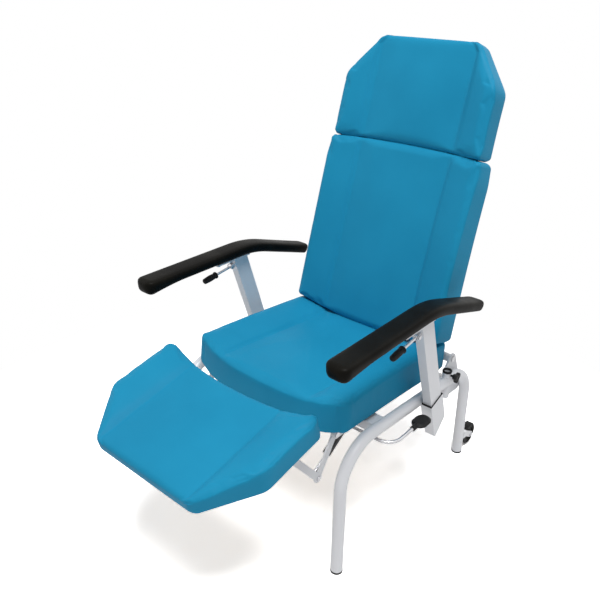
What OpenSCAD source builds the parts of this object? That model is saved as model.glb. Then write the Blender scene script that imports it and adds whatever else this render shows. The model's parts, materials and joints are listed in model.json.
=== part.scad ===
// Phlebotomy chair on two bent side tubes: reclining back with headrest, gas-spring leg rest,
// armrests that slide in inclined sleeves, under-arm levers, a release paddle and transport wheels.
// X is across the chair, -Y is its front, Z is up and the feet stand on Z = 0.

/* [Seat] */
// Width of the seat and leg cushions
seat_w = 520; // [480:5:520]
// Height of the front top edge of the seat
seat_front_z = 480; // [460:5:520]
// Length of the seat cushion
seat_l = 498; // [470:2:498]
// Thickness of the seat cushion at its side wings
seat_t = 80; // [70:2:84]
// Fall of the seat towards the back, in degrees
seat_tilt = 5; // [3:0.5:6]
// How far the front edge of the seat bows forward
seat_bow = 26; // [0:2:30]
// Thickness of the boards under the cushions
board_t = 12; // [9:1:14]

/* [Back and headrest] */
// Width of the back cushion
back_w = 512; // [470:2:516]
// Length of the back cushion
back_l = 512; // [460:2:520]
// How far the middle of the back's top edge arches upward
back_arch = 9; // [0:1:12]
// Thickness of the back cushion at its side wings
back_t = 70; // [62:2:74]
// Recline of the back from upright, in degrees
back_recline = 16.9; // [12:0.1:22]
// Width of the headrest cushion
head_w = 482; // [440:2:500]
// Length of the headrest cushion
head_l = 296; // [260:2:300]
// Width of the top edge of the headrest, between its cut corners
head_tip_w = 306; // [280:2:330]
// Length of the cut corners of the headrest
head_cut = 114; // [90:2:130]

/* [Leg rest] */
// Length of the leg rest cushion
leg_l = 322; // [290:2:330]
// Thickness of the leg rest cushion at its side wings
leg_t = 60; // [50:2:66]
// Fall of the leg rest towards its front, in degrees
leg_slope = 12.7; // [8:0.1:18]
// Width of the front edge of the leg rest, between its cut corners
leg_tip_w = 312; // [290:2:330]
// Length of the cut corners of the leg rest
leg_cut = 143; // [120:1:160]
// How far the leg rest's arms stand in from the seat's sides
leg_arm_inset = 44; // [40:2:60]
// Thickness of the leg rest arms and the plates beside them
plate_t = 6; // [5:0.5:7]

/* [Side frames] */
// Clearance between the seat's side and the side tube
seat_side_gap = 8; // [4:1:14]
// Diameter of the side tubes
tube_d = 32; // [28:1:34]
// Wall of the side tubes
tube_wall = 2; // [1.5:0.5:3]
// Radius of the front bend
front_bend_r = 110; // [90:5:120]
// Radius of the rear bend
rear_bend_r = 100; // [90:5:110]
// Height of the plugs on the feet
foot_h = 22; // [16:1:30]

/* [Armrests] */
// Length of an armrest pad
pad_l = 662; // [600:2:680]
// Width of an armrest pad
pad_w = 63; // [56:1:66]
// Thickness of an armrest pad
pad_t = 31; // [26:1:34]
// Height of the top of the pad
pad_z = 668; // [650:2:700]
// Width of the post, across the chair
post_w = 25; // [22:1:25]
// Depth of the post
post_d = 50; // [44:1:50]
// Lean of the post towards the front, in degrees
post_lean = 18.5; // [14:0.5:20]
// Length of the sleeve
sleeve_l = 124; // [110:2:130]
// Wall of the sleeve
sleeve_wall = 2.4; // [2:0.1:3]

/* [Transport wheels] */
// Diameter of a transport wheel
wheel_d = 72; // [66:2:76]
// Width of a transport wheel
wheel_w = 22; // [18:1:24]

/* [Hidden] */

$fn = 48;
over = 1;
waist = 0.96;
bend_swell = 0.1;
run_gap = 0.05;
seat_gap = 0.3;
tube_x = seat_w / 2 + seat_side_gap + tube_d / 2;
leg_arm_x = seat_w / 2 - leg_arm_inset;
white = [0.93, 0.93, 0.95];
blue = [0.13, 0.50, 0.68];
black = [0.10, 0.10, 0.11];
steel = [0.72, 0.73, 0.75];
wood = [0.72, 0.60, 0.44];

// The seat plane: its own Y runs rearwards along the cushion and Z = 0 is the cushion's underside
seat_y0 = -seat_t * sin(seat_tilt);
seat_z0 = seat_front_z - seat_t * cos(seat_tilt);
function seat_point(along, up) = [seat_y0 + along * cos(seat_tilt) + up * sin(seat_tilt),
    seat_z0 - along * sin(seat_tilt) + up * cos(seat_tilt)];
function seat_along(y, up) = (y - seat_y0 - up * sin(seat_tilt)) / cos(seat_tilt);
module at_seat() { translate([0, seat_y0, seat_z0]) rotate([-seat_tilt, 0, 0]) children(); }

// Side tubes: front foot, front corner, rear corner, rear foot, in Y and Z
rail_h = 25;
tube_drop = board_t + rail_h / 2;
front_foot_y = -45;
rear_foot_behind = 93;
rear_foot_y = seat_l + rear_foot_behind;
rear_rake = 12;
front_corner = seat_point(seat_along(front_foot_y, -tube_drop), -tube_drop);
rear_corner_y = rear_foot_y - rear_rake;
rear_corner = seat_point(seat_along(rear_corner_y, -tube_drop), -tube_drop);
tube_path = [[front_foot_y, 0], front_corner, rear_corner, [rear_foot_y, 0]];
tube_r = tube_d / 2;
tube_in_x = tube_x - tube_r;
tube_out_x = tube_x + tube_r;

// Hinge of the back, and the plates that carry it
hinge_behind = 14;
back_hinge = [seat_l + hinge_behind, 374];
hinge_pin_d = 12;
hinge_boss_r = 17;
hinge_plate_x = tube_in_x - plate_t - seat_gap;
bar_behind = 51;
lower_bar = [back_hinge[0] + bar_behind, 262];
lower_bar_d = 25;
plate_ahead = [34, 22, 21];
plate_corners = [[back_hinge[0] - plate_ahead[0], 346], [back_hinge[0] - plate_ahead[1], 262]];
plate_hole = [back_hinge[0] - plate_ahead[2], 288];
plate_corner_r = 12;
back_anchor = [lower_bar[0], 287];

// The back plane: Z runs up the back, Y = 0 is the rear of the cushions
back_foot_ahead = 84;
back_front_foot = [seat_l - back_foot_ahead, 457];
back_origin = [back_front_foot[0] + back_t * cos(back_recline),
    back_front_foot[1] - back_t * sin(back_recline)];
module at_back() {
    translate([0, back_origin[0], back_origin[1]]) rotate([-back_recline, 0, 0]) children();
}
function to_back(p) = let(dy = p[0] - back_origin[0], dz = p[1] - back_origin[1])
    [dy * cos(back_recline) - dz * sin(back_recline), dy * sin(back_recline) + dz * cos(back_recline)];
function from_back(q) = [back_origin[0] + q[0] * cos(back_recline) + q[1] * sin(back_recline),
    back_origin[1] - q[0] * sin(back_recline) + q[1] * cos(back_recline)];
head_gap = 3;
back_bar_inset = 95;
back_bar_x = seat_w / 2 - back_bar_inset;
back_bar_w = 30;
back_bar_d = 20;

// The leg rest plane: its own Y runs forward and down, Z = 0 is the cushion's underside
leg_rear_top = [-94.5, 501.6];
leg_origin = [leg_rear_top[0] + leg_t * sin(leg_slope), leg_rear_top[1] - leg_t * cos(leg_slope)];
module at_leg() {
    translate([0, leg_origin[0], leg_origin[1]]) rotate([leg_slope, 0, 0]) rotate([0, 0, 180]) children();
}
function leg_point(along, up) = [leg_origin[0] - along * cos(leg_slope) - up * sin(leg_slope),
    leg_origin[1] - along * sin(leg_slope) + up * cos(leg_slope)];
leg_hinge = [14, 368];
leg_knee = [-48, 268];
leg_seat_mark = 78;
arm_eye_r = 12;
leg_pin_d = 10;

// Rails under the seat
front_rail_y = 117;
front_rail_d = 50;
rear_rail_ahead = 74;
rear_rail_y = seat_l - rear_rail_ahead;
rear_rail_d = 25;

// Gas springs
cylinder_d = 22;
spring_side_gap = 1.5;
spring_x = leg_arm_x - plate_t / 2 - cylinder_d / 2 - spring_side_gap;
leg_anchor = [79, 350];
lug_behind = 48;
back_lug = [back_hinge[0] + lug_behind, 480];
spring_eye_r = 10;
spring_eye_w = 10;
spring_pin_d = 8;
cylinder_bore = 17;
rod_d = 8;
leg_cylinder_l = 89;
back_cylinder_l = 105;

// Armrests
sleeve_stand = 3;
sleeve_in_x = tube_out_x + sleeve_stand;
sleeve_clear = 0.2;
sleeve_play = [0.3, 2.5];
sleeve_w = post_w + 2 * (sleeve_wall + sleeve_clear + sleeve_play[0]);
sleeve_depth = post_d + 2 * (sleeve_wall + sleeve_clear + sleeve_play[1]);
post_x = sleeve_in_x + sleeve_w / 2;
pad_inset = 5;
sleeve_mouth = [310, 362];
post_up = 290;
post_down = 108;
arm_slide_up = 55;
arm_slide_down = 85;
pad_x = post_x - pad_inset;
pad_front_y = -131;
pad_knee_y = 262;
pad_fall = 16.5;
pad_round = 9;
pad_plate_t = 5;
lever_pivot_up = 258;
lever_len = 62;
grip_len = 46;
grip_d = 17;
lever_rod_d = 8;
lever_drop = 20;

// Release lever
release_rod_d = 10;
release_at = [100, 335];
release_x0 = 150;
release_out = 30;
release_x1 = tube_out_x + release_out;
paddle_y = 240;
paddle_z = 333;
paddle_l = 60;
paddle_w = 42;
paddle_t = 13;

// Accessory sockets and their knobs
socket_ahead = 46;
socket_y = seat_l - socket_ahead;
socket_d = 26;
socket_bore = 18.6;
socket_rise = 14;
socket_down = 52;
bush_h = 6;
knob_r = 17;
knob_t = 11;
knob_stud_d = 6;
knob_stud_l = 15;

// Wheels
wheel_behind = 57;
wheel_y = rear_foot_y + wheel_behind;
wheel_lift = 4;
wheel_z = wheel_d / 2 + wheel_lift;
axle_d = 8;
fork_t = 3;
fork_gap = 1.5;

// Furthest reach to front and rear, from which the middle of the chair is found
reach_front = leg_point(leg_l, leg_t)[0];
reach_rear = from_back([board_t, back_l + head_gap + head_l])[0];
middle_y = (reach_front + reach_rear) / 2;
module chair() { translate([0, -middle_y, 0]) children(); }

// Local X, Y, Z of what follows become Y, Z, X of the chair
module side_plane(x) { translate([x, 0, 0]) rotate([90, 0, 90]) children(); }
module both_sides() { for (side = [0, 1]) mirror([side, 0, 0]) children(); }
module sided(side) { if (side > 0) children(); else mirror([1, 0, 0]) children(); }

function dir_angle(a, b) = atan2(b[1] - a[1], b[0] - a[0]);
function dist(a, b) = norm(b - a);
module run(a, b, d) {
    translate([a[0], a[1], 0]) rotate([0, 0, dir_angle(a, b)]) rotate([0, 90, 0]) cylinder(h = dist(a, b), d = d);
}

// A tube round two corners, in the side plane
function unit(v) = v / norm(v);
function corner_turn(a, b, c) = acos(unit(b - a) * unit(c - b));
function setback(a, b, c, r) = r * tan(corner_turn(a, b, c) / 2);
module bend(a, b, c, r) {
    back_off = setback(a, b, c, r);
    start = b + unit(a - b) * back_off;
    stop = b + unit(c - b) * back_off;
    centre = b + unit(unit(a - b) + unit(c - b)) * norm([r, back_off]);
    translate([centre[0], centre[1], 0]) rotate([0, 0, dir_angle(centre, stop)])
        rotate_extrude(angle = corner_turn(a, b, c)) translate([r, 0]) children();
}
module hollow_run(a, b, reach_a, reach_b) {
    far_a = a - unit(b - a) * reach_a;
    far_b = b + unit(b - a) * reach_b;
    difference() {
        run(far_a, far_b, tube_d);
        run(far_a - unit(b - a) * over, far_b + unit(b - a) * over, tube_d - 2 * tube_wall);
    }
}
module hollow_bend(a, b, c, r) {
    bend(a, b, c, r) difference() {
        circle(d = tube_d + 2 * bend_swell);
        circle(d = tube_d - 2 * tube_wall - 2 * bend_swell);
    }
}
module side_frame(side) {
    p = tube_path;
    first = setback(p[0], p[1], p[2], front_bend_r);
    second = setback(p[1], p[2], p[3], rear_bend_r);
    color(white) sided(side) {
        side_plane(tube_x) {
            hollow_run(p[0] + unit(p[1] - p[0]) * foot_cap_base, p[1] + unit(p[0] - p[1]) * first, 0, over);
            hollow_bend(p[0], p[1], p[2], front_bend_r);
            hollow_bend(p[1], p[2], p[3], rear_bend_r);
            hollow_run(p[2] + unit(p[3] - p[2]) * second, p[3] + unit(p[2] - p[3]) * foot_cap_base, over, 0);
        }
        difference() {
            side_plane(tube_x) hollow_run(p[1] + unit(p[2] - p[1]) * first,
                p[2] + unit(p[1] - p[2]) * second, over, over);
            translate([tube_x, socket_y, 0]) cylinder(h = seat_front_z, d = socket_d + 2 * run_gap);
        }
    }
}
foot_cap_base = 6;
foot_cap_wall = 1;
module foot_cap(foot, towards) {
    up = unit(towards - foot);
    plug_d = tube_d - 2 * tube_wall - 2 * run_gap;
    intersection() {
        side_plane(tube_x) union() {
            run(foot - up * foot_cap_base, foot + up * foot_cap_base, tube_d + foot_cap_wall);
            run(foot, foot + up * foot_h, plug_d);
        }
        translate([tube_x - tube_d, foot[0] - tube_d, 0]) cube([2 * tube_d, 2 * tube_d, 2 * foot_h]);
    }
}
module foot_caps() {
    color(black) both_sides() {
        foot_cap(tube_path[0], tube_path[1]);
        foot_cap(tube_path[3], tube_path[2]);
    }
}

// Rectangular rails that lie under the seat board, between the side tubes
module seat_rail(y, depth) {
    along = seat_along(y, -board_t);
    at_seat() difference() {
        translate([-tube_x, along - depth / 2, -board_t - rail_h]) cube([2 * tube_x, depth, rail_h]);
        translate([-tube_x - over, along - depth / 2 + tube_wall, -board_t - rail_h + tube_wall])
            cube([2 * (tube_x + over), depth - 2 * tube_wall, rail_h - 2 * tube_wall]);
        for (side = [-1, 1]) translate([side * tube_x, -tube_x, -tube_drop]) rotate([-90, 0, 0])
            cylinder(h = 4 * tube_x, d = tube_d + 2 * run_gap);
    }
}
module front_rail() { color(white) seat_rail(front_rail_y, front_rail_d); }
module rear_rail() { color(white) seat_rail(rear_rail_y, rear_rail_d); }

// Plates on the inner side of each side tube: back hinge at the top, cross bar at the bottom
module hinge_plate() {
    side_plane(hinge_plate_x) difference() {
        linear_extrude(plate_t) difference() {
            hull() {
                translate(back_hinge) circle(r = hinge_boss_r);
                translate(lower_bar) circle(r = hinge_boss_r);
                for (at = plate_corners) translate(at) circle(r = plate_corner_r);
            }
            translate(plate_hole) circle(r = plate_corner_r);
        }
        translate([back_hinge[0], back_hinge[1], -over])
            cylinder(h = plate_t + 2 * over, d = hinge_pin_d + 2 * run_gap);
    }
}
module hinge_plates() { color(white) both_sides() hinge_plate(); }
module lower_cross_bar() {
    ear = spring_eye_w / 2 + clevis_gap;
    color(white) {
        difference() {
            side_plane(-hinge_plate_x) translate([lower_bar[0], lower_bar[1], 0])
                cylinder(h = 2 * hinge_plate_x, d = lower_bar_d);
            side_plane(-hinge_plate_x - over) translate([lower_bar[0], lower_bar[1], 0])
                cylinder(h = 2 * (hinge_plate_x + over), d = lower_bar_d - 2 * tube_wall);
        }
        for (side = [0, 1]) mirror([side, 0, 0]) spring_ear(ear, lower_bar, back_anchor, lower_bar_d / 2);
    }
}
// A flat ear beside a spring eye, from its carrier to the pin
module spring_ear(x, from, to, trim) {
    side_plane(x) difference() {
        linear_extrude(plate_t - 2) hull() {
            translate(from) circle(r = trim - 1);
            translate(to) circle(r = spring_eye_r);
        }
        translate([to[0], to[1], -over]) cylinder(h = plate_t + over, d = spring_pin_d + 2 * run_gap);
        translate([from[0], from[1], -over]) cylinder(h = plate_t + over, r = trim - 1.5);
    }
}

// Plate outline between two round ends, in the side plane
module link(a, b, r) {
    translate(a) circle(r = r);
    translate(b) circle(r = r);
    translate(a) rotate(dir_angle(a, b)) translate([0, -r * waist]) square([dist(a, b), 2 * r * waist]);
}
module pin_hole(at, d, depth) { translate([at[0], at[1], -over]) cylinder(h = depth + 2 * over, d = d + 2 * run_gap); }
module rail_block(y, depth) {
    at_seat() translate([-tube_x, seat_along(y, -board_t) - depth / 2, -board_t - rail_h])
        cube([2 * tube_x, depth, rail_h]);
}
clevis_t = 5;
clevis_gap = 0.4;
module clevis_plate(x, at, root, r) {
    difference() {
        side_plane(x) difference() {
            linear_extrude(clevis_t) link(root, at, r);
            pin_hole(at, leg_pin_d, clevis_t);
        }
        rail_block(front_rail_y, front_rail_d);
    }
}
clevis_bite = 6;
clevis_drop = 2;
clevis_root = [front_rail_y - front_rail_d / 2 + clevis_bite, leg_hinge[1] - clevis_drop];
module leg_clevises() {
    x = leg_arm_x + plate_t / 2 + clevis_gap;
    color(white) both_sides() clevis_plate(x, leg_hinge, clevis_root, arm_eye_r);
}
anchor_rise = 12;
anchor_root = [front_rail_y - front_rail_d / 2 + clevis_bite, leg_anchor[1] + anchor_rise];
module spring_anchor() {
    color(white) for (side = [-1, 1])
        clevis_plate(spring_x + side * (spring_eye_w / 2 + clevis_gap + clevis_t / 2) - clevis_t / 2,
            leg_anchor, anchor_root, spring_eye_r);
}
guide_t = 8;
guide_rim = 4;
guide_spring_gap = 30;
guide_tube_gap = 7;
guide_xs = [spring_x - guide_spring_gap, tube_in_x - guide_tube_gap];
module lever_guides() {
    r = release_rod_d / 2 + guide_rim;
    color(white) for (x = guide_xs) difference() {
        side_plane(x - guide_t / 2) difference() {
            linear_extrude(guide_t) link(release_at, release_at + [0, rail_h], r);
            pin_hole(release_at, release_rod_d, guide_t);
        }
        rail_block(front_rail_y, front_rail_d);
    }
}

// Inclined sleeves: local Z runs up the post
module at_sleeve(side) {
    sided(side) translate([post_x, sleeve_mouth[0], sleeve_mouth[1]]) rotate([post_lean, 0, 0]) children();
}
sleeve_toe = 29;
sleeve_tip = 5;
sleeve_plate_h = 64;
module sleeve(side) {
    inner_w = sleeve_w - 2 * sleeve_wall;
    inner_d = sleeve_depth - 2 * sleeve_wall;
    half = sleeve_depth / 2;
    color(white) at_sleeve(side) {
        difference() {
            translate([-sleeve_w / 2, 0, 0]) rotate([90, 0, 90]) linear_extrude(sleeve_w) polygon([
                [-half, 0], [half, 0], [half, -sleeve_l + sleeve_toe], [-half + sleeve_tip, -sleeve_l],
                [-half, -sleeve_l + sleeve_tip]]);
            translate([-inner_w / 2, -inner_d / 2, -sleeve_l - over]) cube([inner_w, inner_d, sleeve_l + 2 * over]);
        }
        translate([-sleeve_w / 2 - sleeve_in_x + tube_out_x, -half, -sleeve_plate_h])
            cube([sleeve_in_x - tube_out_x, sleeve_depth, sleeve_plate_h]);
    }
}
module sleeve_left() { sleeve(1); }
module sleeve_right() { sleeve(-1); }
collar_top = 4;
collar_l = 40;
collar_gap = 0.2;
module collar(side) {
    inner_d = sleeve_depth - 2 * sleeve_wall;
    hole_w = post_w + 2 * collar_gap;
    hole_d = post_d + 2 * collar_gap;
    at_sleeve(side) difference() {
        union() {
            translate([-sleeve_w / 2, -sleeve_depth / 2, 0]) cube([sleeve_w, sleeve_depth, collar_top]);
            translate([-post_w / 2, -inner_d / 2, -collar_l]) cube([post_w, inner_d, collar_l + collar_top]);
        }
        translate([-hole_w / 2, -hole_d / 2, -collar_l - over]) cube([hole_w, hole_d, collar_l + collar_top + 2 * over]);
    }
}
module glide_collars() { color(black) { collar(1); collar(-1); } }

socket_mid = seat_point(seat_along(socket_y, -tube_drop), -tube_drop)[1];
socket_top = socket_mid + tube_r + socket_rise;
knob_z = socket_mid + tube_r + socket_rise / 2;
module accessory_sockets() {
    color(white) both_sides() difference() {
        translate([tube_x, socket_y, socket_mid - socket_down])
            cylinder(h = socket_top - socket_mid + socket_down, d = socket_d);
        translate([tube_x, socket_y, socket_mid - socket_down - over])
            cylinder(h = socket_rise + 2 * socket_down, d = socket_bore);
        translate([tube_x, socket_y, knob_z]) rotate([0, 90, 0])
            cylinder(h = socket_d, d = knob_stud_d + 2 * run_gap);
    }
}
bush_rim = 1;
module socket_bushes() {
    color(black) both_sides() translate([tube_x, socket_y, socket_top]) difference() {
        cylinder(h = bush_h, d = socket_d + 2 * bush_rim);
        translate([0, 0, -over]) cylinder(h = bush_h + 2 * over, d = socket_bore);
    }
}
lobe_share = 0.56;
stud_bite = 3;
knob_hub_l = 4;
module knob(side) {
    color(black) sided(side) translate([tube_x + socket_d / 2 - stud_bite, socket_y, knob_z]) rotate([0, 90, 0]) {
        cylinder(h = knob_stud_l + knob_t / 2, d = knob_stud_d);
        translate([0, 0, knob_stud_l - knob_hub_l]) cylinder(h = knob_t, d = knob_r);
        translate([0, 0, knob_stud_l]) for (turn = [0, 120, 240]) rotate(turn) {
            translate([knob_r * lobe_share, 0, 0]) cylinder(h = knob_t, r = knob_r * (1 - lobe_share));
            translate([0, -knob_r / 4, 0]) cube([knob_r * lobe_share, knob_r / 2, knob_t]);
        }
    }
}
module knob_left() { knob(1); }
module knob_right() { knob(-1); }

// Transport wheels in forks behind the rear feet
wheel_at = [wheel_y, wheel_z];
fork_set = 22;
fork_root = [rear_foot_y + fork_set, wheel_z + fork_set];
fork_r = 10;
fork_block = [8, 14, 24];
module wheel_forks() {
    wide = wheel_w + 2 * (fork_gap + fork_t);
    color(white) both_sides() difference() {
        union() {
            translate([tube_x - wide / 2, rear_foot_y + fork_block[0], fork_root[1] - fork_block[2] / 2])
                cube([wide, fork_block[1], fork_block[2]]);
            for (side = [-1, 1]) side_plane(tube_x + side * (wheel_w + 2 * fork_gap + fork_t) / 2 - fork_t / 2)
                difference() {
                    linear_extrude(fork_t) link(fork_root, wheel_at, fork_r);
                    pin_hole(wheel_at, axle_d, fork_t);
                }
        }
        side_plane(tube_x) run(tube_path[3], tube_path[2], tube_d);
    }
}
axle_cap_h = 4;
pin_rim = 3;
pin_head = 3;
module wheel_axles() {
    grip = wheel_w / 2 + fork_gap + fork_t;
    color(steel) both_sides() side_plane(tube_x) translate([wheel_at[0], wheel_at[1], 0]) {
        translate([0, 0, -grip]) cylinder(h = 2 * grip, d = axle_d);
        for (side = [-1, 1]) translate([0, 0, side * (grip + axle_cap_h / 2) - axle_cap_h / 2])
            cylinder(h = axle_cap_h, d = axle_d + 2 * pin_rim);
    }
}
tread_h = 9;
tread_step = 5;
hub_d = 24;
module wheel(side) {
    rim_r = wheel_d / 2 - tread_h;
    color(black) sided(side) side_plane(tube_x) translate([wheel_at[0], wheel_at[1], 0]) difference() {
        union() {
            rotate_extrude($fn = 72) translate([rim_r + tread_h / 2, 0]) union() {
                square([tread_h - tread_step, wheel_w], center = true);
                translate([(tread_h - tread_step) / 2, 0]) square([tread_step, wheel_w - tread_step], center = true);
                translate([-tread_h / 2, 0]) square([tread_h, wheel_w - tread_step], center = true);
            }
            translate([0, 0, -wheel_w / 2 + tread_step]) cylinder(h = wheel_w - 2 * tread_step, r = rim_r);
            translate([0, 0, -wheel_w / 2]) cylinder(h = wheel_w, d = hub_d);
        }
        translate([0, 0, -wheel_w]) cylinder(h = 2 * wheel_w, d = axle_d + 2 * run_gap);
    }
}
module wheel_left() { wheel(1); }
module wheel_right() { wheel(-1); }

// Bucket-shaped cushion: X across, Y along, base on Z = 0; side wings rise from two creases
wing_rise = 24;
crease_inset = 110;
crease_half = seat_w / 2 - crease_inset;
crease_w = 6;
crease_edge = 10;
edge_roll = 12;
base_roll = 7;
plan_round = 9;
side_draw = 3;
crease_depth = 2.6;
panel_crown = 5;
back_foot_bow = 26;
base_bow_share = 0.45;
function ease(e, r) = e >= r ? 0 : r - sqrt(r * r - (r - e) * (r - e));
function ease_corner(a, b, r) = let(p = max(0, r - a), q = max(0, r - b))
    r - sqrt(max(0, r * r - p * p - q * q));
function taper(y, w, l, tip, cut) = y < l - cut ? w / 2 : w / 2 + (tip - w) / 2 * (y - l + cut) / cut;
function half_at(y, w, l, tip, cut) = taper(y, w, l, tip, cut) - ease(y, plan_round)
    - ease(l - y, plan_round) - side_draw * sin(180 * y / l);
function crease_at(half) = min(crease_half, half - edge_roll - crease_edge);
panel_shares = [0, 0.36, 0.7];
roll_shares = [1, 0.62, 0.3, 0.08, 0];
function columns(half) = let(c = crease_at(half)) concat([for (s = panel_shares) s * c], [c - crease_w, c, c + crease_w],
    [for (s = [0.5]) c + (half - edge_roll - c) * s + crease_w / 2], [for (s = roll_shares) half - edge_roll * s]);
function top_at(x, y, half, l, t) = let(c = crease_at(half), out = max(0, x - c) / (half - c))
    t - wing_rise + wing_rise * out * min(1, (half - c) / crease_half * 1.6)
    + panel_crown * sin(180 * y / l) * max(0, 1 - x / c)
    - (abs(x - c) < 1 ? crease_depth : 0) - ease_corner(half - x, min(y, l - y), edge_roll);
function base_at(x, y, half, l) = ease_corner(half - x, min(y, l - y), base_roll);
function bow_at(x, y, half, l, bow) = (1 - pow(x / half, 2))
    * (bow[1] * pow(y / l, 4) - bow[0] * pow(1 - y / l, 4));
function cushion_ring(y, w, l, t, tip, cut, bow) = let(half = half_at(y, w, l, tip, cut), c = columns(half),
    n = len(c), xs = concat([for (i = [n - 1:-1:1]) -c[i]], c)) concat(
    [for (x = xs) [x, y + bow_at(x, y, half, l, bow), top_at(abs(x), y, half, l, t)]],
    [for (i = [len(xs) - 1:-1:0]) [xs[i], y + bow[2] * bow_at(xs[i], y, half, l, bow),
        base_at(abs(xs[i]), y, half, l)]]);
along_shares = [0.2, 0.4, 0.6, 0.8];
function stations(l, cut) = concat([for (i = [len(roll_shares) - 1:-1:0]) edge_roll * roll_shares[i]],
    [for (s = along_shares) s * (l - cut)], [l - cut], [l - cut / 2],
    [for (s = roll_shares) l - edge_roll * s]);
function skin_faces(n, rows) = [for (j = [0:rows - 2], i = [0:n - 1]) let(k = (i + 1) % n)
    each [[j * n + i, (j + 1) * n + i, (j + 1) * n + k], [j * n + i, (j + 1) * n + k, j * n + k]]];
function strip_cap(n, first, flip) = [for (i = [0:n / 2 - 2]) let(a = first + i, b = first + i + 1,
    c = first + n - 2 - i, d = first + n - 1 - i)
    each (flip ? [[a, c, b], [a, d, c]] : [[a, b, c], [a, c, d]])];
module cushion(w, l, t, tip, cut, bow) {
    ys = stations(l, cut);
    rings = [for (y = ys) cushion_ring(y, w, l, t, tip, cut, bow)];
    n = len(rings[0]);
    polyhedron(points = [for (ring = rings) each ring], faces = concat(skin_faces(n, len(ys)),
        strip_cap(n, 0, false), strip_cap(n, (len(ys) - 1) * n, true)));
}
corner_cut = 60;
corner_tip = 14;
board_inset = 22;
module board(w, l, tip, cut) {
    x = w / 2 - board_inset;
    tip_x = tip / 2 - board_inset / 2;
    translate([0, 0, -board_t]) linear_extrude(board_t) polygon([[-x, board_inset], [x, board_inset],
        [x, l - cut - board_inset / 2], [tip_x, l - board_inset], [-tip_x, l - board_inset],
        [-x, l - cut - board_inset / 2]]);
}

module seat_cushion() {
    color(blue) at_seat() cushion(seat_w, seat_l, seat_t, seat_w - corner_tip, corner_cut,
        [seat_bow, 0, 1]);
}
seat_board_cut = 26;
module seat_board() {
    color(wood) at_seat() intersection() {
        translate([0, 0, -seat_gap]) board(seat_w, seat_l, seat_w, corner_cut);
        translate([-seat_w / 2, 0, -board_t]) cube([seat_w, seat_l - seat_board_cut, board_t - seat_gap]);
    }
}
screw_d = 10;
screw_h = 4;
screw_inset = 110;
screw_x = seat_w / 2 - screw_inset;
module board_screws() {
    color(steel) for (side = [-1, 1], y = [front_rail_y, rear_rail_y]) at_seat()
        translate([side * screw_x, seat_along(y, -board_t), -board_t - rail_h - screw_h])
            cylinder(h = screw_h, d = screw_d);
}

// Back: cushions face forward, boards and frame lie behind them
module facing() { rotate([90, 0, 0]) children(); }
head_foot = back_l + head_gap;
module back_cushion() {
    color(blue) at_back() facing() cushion(back_w, back_l, back_t, back_w - corner_tip, corner_cut,
        [back_foot_bow, back_arch, base_bow_share]);
}
module head_cushion() {
    color(blue) at_back() translate([0, 0, head_foot]) facing()
        cushion(head_w, head_l, back_t, head_tip_w, head_cut, [-back_arch, 0, base_bow_share]);
}
module back_board() {
    color(wood) at_back() translate([0, seat_gap, 0]) facing() board(back_w, back_l, back_w, corner_cut);
}
module head_board() {
    color(wood) at_back() translate([0, seat_gap, head_foot]) facing() board(head_w, head_l, head_tip_w, head_cut);
}
hinge_tube_d = 25;
frame_y = board_t + 2 * seat_gap;
frame_top = head_foot + head_l - head_cut;
cross_end = 60;
cross_z = [cross_end, back_l - cross_end, frame_top - back_bar_d];
pin_inside = 30;
hinge_in_back = to_back(back_hinge);
lug_in_back = to_back(back_lug);
module hollow_bar(size, wall) {
    difference() {
        cube(size);
        translate([wall, wall, wall]) cube([size[0] - 2 * wall, size[1] - 2 * wall, size[2] - 2 * wall]);
    }
}
module back_frame() {
    ear = spring_eye_w / 2 + clevis_gap;
    color(white) {
        at_back() {
            for (side = [-1, 1]) translate([side * back_bar_x - back_bar_w / 2, frame_y, 0])
                cube([back_bar_w, back_bar_d, frame_top]);
            for (z = cross_z) translate([-back_bar_x, frame_y, z - back_bar_d / 2])
                cube([2 * back_bar_x, back_bar_d, back_bar_d]);
            for (side = [-1, 1]) side_plane(side * back_bar_x - back_bar_w / 2) difference() {
                linear_extrude(back_bar_w) link([frame_y + back_bar_d / 2, back_bar_d / 2],
                    hinge_in_back, back_bar_d / 2);
                translate([hinge_in_back[0], hinge_in_back[1], -over])
                    cylinder(h = back_bar_w + 2 * over, d = hinge_tube_d - 1);
            }
            for (side = [-1, 1]) side_plane(side * (ear + clevis_t / 2) - clevis_t / 2) difference() {
                linear_extrude(clevis_t) link([frame_y + back_bar_d / 2, lug_in_back[1]], lug_in_back, spring_eye_r);
                pin_hole(lug_in_back, spring_pin_d, clevis_t);
            }
        }
        difference() {
            side_plane(-hinge_plate_x + 1) translate([back_hinge[0], back_hinge[1], 0])
                cylinder(h = 2 * (hinge_plate_x - 1), d = hinge_tube_d);
            side_plane(-hinge_plate_x) translate([back_hinge[0], back_hinge[1], 0])
                cylinder(h = 2 * hinge_plate_x, d = hinge_pin_d);
        }
    }
}
module back_pins() {
    color(steel) both_sides() side_plane(hinge_plate_x - pin_inside) translate([back_hinge[0], back_hinge[1], 0]) {
        cylinder(h = pin_inside + plate_t + seat_gap, d = hinge_pin_d);
        translate([0, 0, pin_inside + plate_t + seat_gap]) cylinder(h = pin_head, d = hinge_pin_d + 2 * pin_rim);
    }
}

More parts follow.
